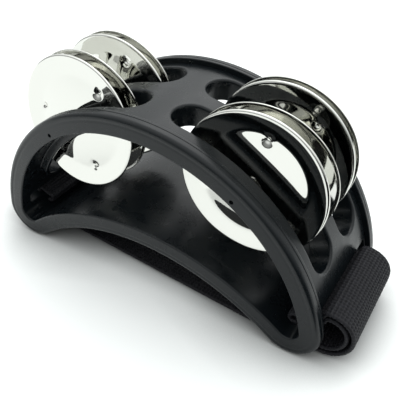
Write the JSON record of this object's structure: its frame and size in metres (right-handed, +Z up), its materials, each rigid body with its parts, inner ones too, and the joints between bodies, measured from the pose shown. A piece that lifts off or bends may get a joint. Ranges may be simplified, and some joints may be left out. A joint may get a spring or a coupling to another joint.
{
  "type": "foot tambourine",
  "caption": "Crescent-shaped foot tambourine: a moulded arch with pairs of steel jingles on cross pins and an elastic strap that holds it on a shoe.",
  "frame": {"origin": "on the floor plane, at the middle of the width and of the depth", "axes": "+Z up through the crown of the arch, +X to the right across the width, -Y out of the front ring, +Y out of the back ring"},
  "size_m": [0.1488, 0.0504, 0.0737],
  "materials": {
    "black_plastic": "satin moulded",
    "polished_steel": "mirror polished",
    "pin_steel": "drawn wire",
    "black_elastic": "woven elastic webbing"
  },
  "bodies": {
    "frame": {"frame_shell": "black_plastic", "foot_strap": "black_elastic"},
    "pin_left": {"jingle_pin_left": "pin_steel"},
    "pin_right": {"jingle_pin_right": "pin_steel"},
    "jingle_left_1": {"jingle_left_1": "polished_steel"},
    "jingle_left_2": {"jingle_left_2": "polished_steel"},
    "jingle_left_3": {"jingle_left_3": "polished_steel"},
    "jingle_left_4": {"jingle_left_4": "polished_steel"},
    "jingle_right_1": {"jingle_right_1": "polished_steel"},
    "jingle_right_2": {"jingle_right_2": "polished_steel"},
    "jingle_right_3": {"jingle_right_3": "polished_steel"},
    "jingle_right_4": {"jingle_right_4": "polished_steel"}
  },
  "joints": [
    {"name": "pin_left_turn", "type": "hinge", "parent": "frame", "child": "pin_left", "pos_m": [-0.034, 0, 0.05185], "axis": [0, 1, 0], "continuous": true},
    {"name": "pin_right_turn", "type": "hinge", "parent": "frame", "child": "pin_right", "pos_m": [0.034, 0, 0.05185], "axis": [0, 1, 0], "continuous": true},
    {"name": "jingle_left_1_slide", "type": "slide", "parent": "pin_left", "child": "jingle_left_1", "axis": [0, 1, 0], "range_m": [-0.0002, 0.0011]},
    {"name": "jingle_left_2_slide", "type": "slide", "parent": "pin_left", "child": "jingle_left_2", "axis": [0, 1, 0], "range_m": [-0.0011, 0.0006]},
    {"name": "jingle_left_3_slide", "type": "slide", "parent": "pin_left", "child": "jingle_left_3", "axis": [0, 1, 0], "range_m": [-0.003, 0.0005]},
    {"name": "jingle_left_4_slide", "type": "slide", "parent": "pin_left", "child": "jingle_left_4", "axis": [0, 1, 0], "range_m": [-0.0005, 0.002]},
    {"name": "jingle_right_1_slide", "type": "slide", "parent": "pin_right", "child": "jingle_right_1", "axis": [0, 1, 0], "range_m": [-0.0002, 0.0014]},
    {"name": "jingle_right_2_slide", "type": "slide", "parent": "pin_right", "child": "jingle_right_2", "axis": [0, 1, 0], "range_m": [-0.0014, 0.00025]},
    {"name": "jingle_right_3_slide", "type": "slide", "parent": "pin_right", "child": "jingle_right_3", "axis": [0, 1, 0], "range_m": [-0.0009, 0.0003]},
    {"name": "jingle_right_4_slide", "type": "slide", "parent": "pin_right", "child": "jingle_right_4", "axis": [0, 1, 0], "range_m": [-0.0003, 0.0038]}
  ]
}
